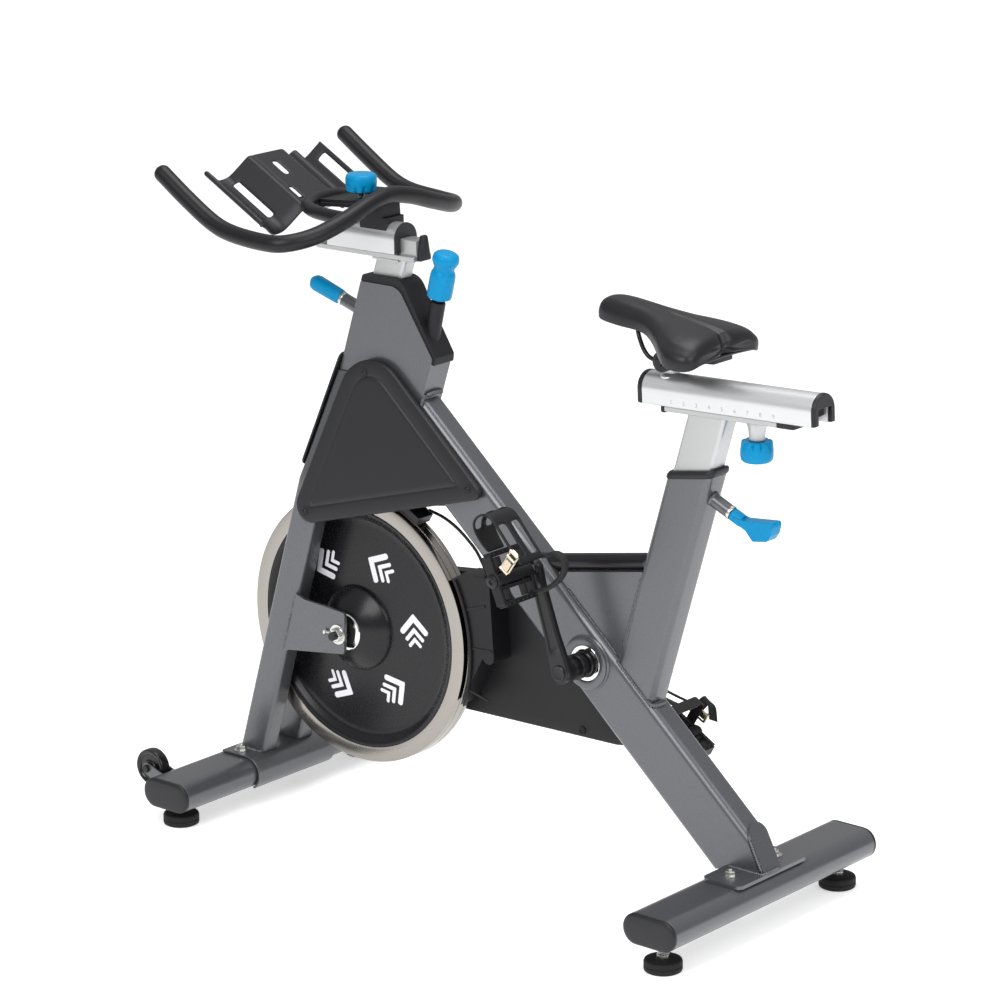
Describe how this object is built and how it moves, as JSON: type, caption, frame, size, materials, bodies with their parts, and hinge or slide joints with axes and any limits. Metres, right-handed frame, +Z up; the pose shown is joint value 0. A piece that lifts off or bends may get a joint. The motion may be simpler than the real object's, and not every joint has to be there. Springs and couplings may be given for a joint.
{
  "type": "indoor spin bike",
  "caption": "Stationary spin bike: steel frame, belt-driven front flywheel, push brake, toe-cage pedals, and saddle and handlebar on sliding posts.",
  "frame": {"origin": "on the floor under the middle of the bounding box", "axes": "+X to the rear, +Y to the rider's right, +Z up"},
  "size_m": [1.25, 0.5256, 1.1176],
  "materials": {
    "grey_paint": "satin metallic grey",
    "black_paint": "satin black",
    "anodised_aluminium": "satin anodised",
    "polished_steel": "polished",
    "ground_rim": "turned and polished",
    "black_casting": "black painted",
    "black_rubber": "matt",
    "bar_grip": "dipped soft grip over steel tube",
    "black_plastic": "fine grain",
    "blue_plastic": "gloss blue",
    "saddle_vinyl": "vinyl cover over foam"
  },
  "bodies": {
    "frame": {"belt_guard_inner": "black_plastic", "belt_guard_outer": "black_plastic", "bracket_shell": "grey_paint", "crank_bearing_left": "polished_steel", "crank_bearing_right": "polished_steel", "cross_bar": "black_paint", "drive_belt": "black_rubber", "end_cap_front_left": "black_plastic", "end_cap_front_right": "black_plastic", "end_cap_rear_left": "black_plastic", "end_cap_rear_right": "black_plastic", "flywheel_axle": "polished_steel", "fork_leg_left": "grey_paint", "fork_leg_right": "grey_paint", "front_bracket": "grey_paint", "front_shield": "black_plastic", "front_stabiliser": "grey_paint", "gusset_plate": "grey_paint", "head_boot": "black_plastic", "head_shell": "grey_paint", "main_beam": "grey_paint", "rear_foot_plate": "grey_paint", "rear_stabiliser": "grey_paint", "seat_collar": "black_plastic", "seat_tube": "grey_paint", "side_cover_left": "black_plastic", "side_cover_right": "black_plastic"},
    "foot_front_left": {"levelling_foot_front_left": "black_rubber"},
    "foot_front_right": {"levelling_foot_front_right": "black_rubber"},
    "foot_rear_left": {"levelling_foot_rear_left": "black_rubber"},
    "foot_rear_right": {"levelling_foot_rear_right": "black_rubber"},
    "wheel_left": {"transport_wheel_left": "black_plastic"},
    "wheel_right": {"transport_wheel_right": "black_plastic"},
    "flywheel": {"flywheel_rim": "ground_rim", "flywheel_disc": "black_casting"},
    "crankset": {"crank_spindle": "black_paint", "drive_pulley": "black_plastic", "crank_left": "black_paint", "crank_right": "black_paint"},
    "pedal_unit_left": {"pedal_left": "black_plastic", "toe_cage_left": "black_plastic"},
    "pedal_unit_right": {"pedal_right": "black_plastic", "toe_cage_right": "black_plastic"},
    "brake": {"brake_rod": "black_paint", "brake_shoe": "black_plastic"},
    "brake_grip": {"brake_knob": "blue_plastic"},
    "bar_lock": {"bar_pin": "blue_plastic"},
    "seat_lock": {"seat_pin": "blue_plastic"},
    "bar_column": {"handlebar_post": "anodised_aluminium"},
    "bar_carriage": {"handlebar_slider": "anodised_aluminium", "handlebar": "bar_grip", "bottle_tray": "black_plastic"},
    "bar_clamp": {"handlebar_knob": "blue_plastic"},
    "seat_column": {"seat_post": "anodised_aluminium"},
    "seat_carriage": {"seat_slider": "anodised_aluminium"},
    "saddle_unit": {"saddle": "saddle_vinyl", "saddle_rails": "polished_steel", "saddle_clamp": "black_plastic"},
    "seat_clamp": {"seat_knob": "blue_plastic"}
  },
  "joints": [
    {"name": "front_left_foot_screw", "type": "hinge", "parent": "frame", "child": "foot_front_left", "pos_m": [-0.51, -0.226, 0.03], "axis": [0, 0, 1], "continuous": true},
    {"name": "front_right_foot_screw", "type": "hinge", "parent": "frame", "child": "foot_front_right", "pos_m": [-0.51, 0.226, 0.03], "axis": [0, 0, 1], "continuous": true},
    {"name": "rear_left_foot_screw", "type": "hinge", "parent": "frame", "child": "foot_rear_left", "pos_m": [0.508, -0.226, 0.03], "axis": [0, 0, 1], "continuous": true},
    {"name": "rear_right_foot_screw", "type": "hinge", "parent": "frame", "child": "foot_rear_right", "pos_m": [0.508, 0.226, 0.03], "axis": [0, 0, 1], "continuous": true},
    {"name": "left_wheel_spin", "type": "hinge", "parent": "frame", "child": "wheel_left", "pos_m": [-0.594, -0.205, 0.075], "axis": [0, 1, 0], "continuous": true},
    {"name": "right_wheel_spin", "type": "hinge", "parent": "frame", "child": "wheel_right", "pos_m": [-0.594, 0.205, 0.075], "axis": [0, 1, 0], "continuous": true},
    {"name": "flywheel_spin", "type": "hinge", "parent": "frame", "child": "flywheel", "pos_m": [-0.294, 0, 0.333], "axis": [0, 1, 0], "continuous": true},
    {"name": "crank_spin", "type": "hinge", "parent": "frame", "child": "crankset", "pos_m": [0.198, 0, 0.375], "axis": [0, 1, 0], "continuous": true},
    {"name": "left_pedal_spin", "type": "hinge", "parent": "crankset", "child": "pedal_unit_left", "pos_m": [0.14406, -0.1465, 0.53621], "axis": [0, 1, 0], "continuous": true},
    {"name": "right_pedal_spin", "type": "hinge", "parent": "crankset", "child": "pedal_unit_right", "pos_m": [0.25194, 0.1465, 0.21379], "axis": [0, 1, 0], "continuous": true},
    {"name": "brake_push", "type": "slide", "parent": "frame", "child": "brake", "axis": [-0.2325, 0, -0.9726], "range_m": [0, 0.004], "stiffness_N_per_m": 4000},
    {"name": "brake_turn", "type": "hinge", "parent": "brake", "child": "brake_grip", "pos_m": [-0.106, 0, 0.989], "axis": [0.2325, 0, 0.9726], "range_deg": [-720, 720]},
    {"name": "bar_pin_pull", "type": "slide", "parent": "frame", "child": "bar_lock", "axis": [-0.9537, 0, 0.3007], "range_m": [0, 0.01], "stiffness_N_per_m": 800},
    {"name": "seat_pin_pull", "type": "slide", "parent": "frame", "child": "seat_lock", "axis": [0.9143, 0, -0.4051], "range_m": [0, 0.01], "stiffness_N_per_m": 800},
    {"name": "handlebar_height", "type": "slide", "parent": "frame", "child": "bar_column", "axis": [0.3007, 0, 0.9537], "range_m": [-0.015, 0.13]},
    {"name": "handlebar_reach", "type": "slide", "parent": "bar_column", "child": "bar_carriage", "axis": [0.9998, 0, 0.0175], "range_m": [-0.055, 0.02]},
    {"name": "handlebar_clamp_turn", "type": "hinge", "parent": "bar_carriage", "child": "bar_clamp", "pos_m": [-0.287, 0, 1.0655], "axis": [0, 0, 1], "range_deg": [0, 540]},
    {"name": "seat_height", "type": "slide", "parent": "frame", "child": "seat_column", "axis": [0.2857, 0, 0.9583], "range_m": [-0.05, 0.12]},
    {"name": "seat_reach", "type": "slide", "parent": "seat_column", "child": "seat_carriage", "axis": [0.9991, 0, 0.0419], "range_m": [-0.05, 0.05]},
    {"name": "saddle_tilt", "type": "hinge", "parent": "seat_carriage", "child": "saddle_unit", "pos_m": [0.343, 0, 0.884], "axis": [0, 1, 0], "range_deg": [-10, 10]},
    {"name": "seat_clamp_turn", "type": "hinge", "parent": "seat_column", "child": "seat_clamp", "pos_m": [0.507, 0, 0.7832], "axis": [0, 0, 1], "range_deg": [-540, 0]}
  ],
  "couplings": [
    {"joint": "crank_spin", "follows": "flywheel_spin", "ratio": 0.33333}
  ]
}
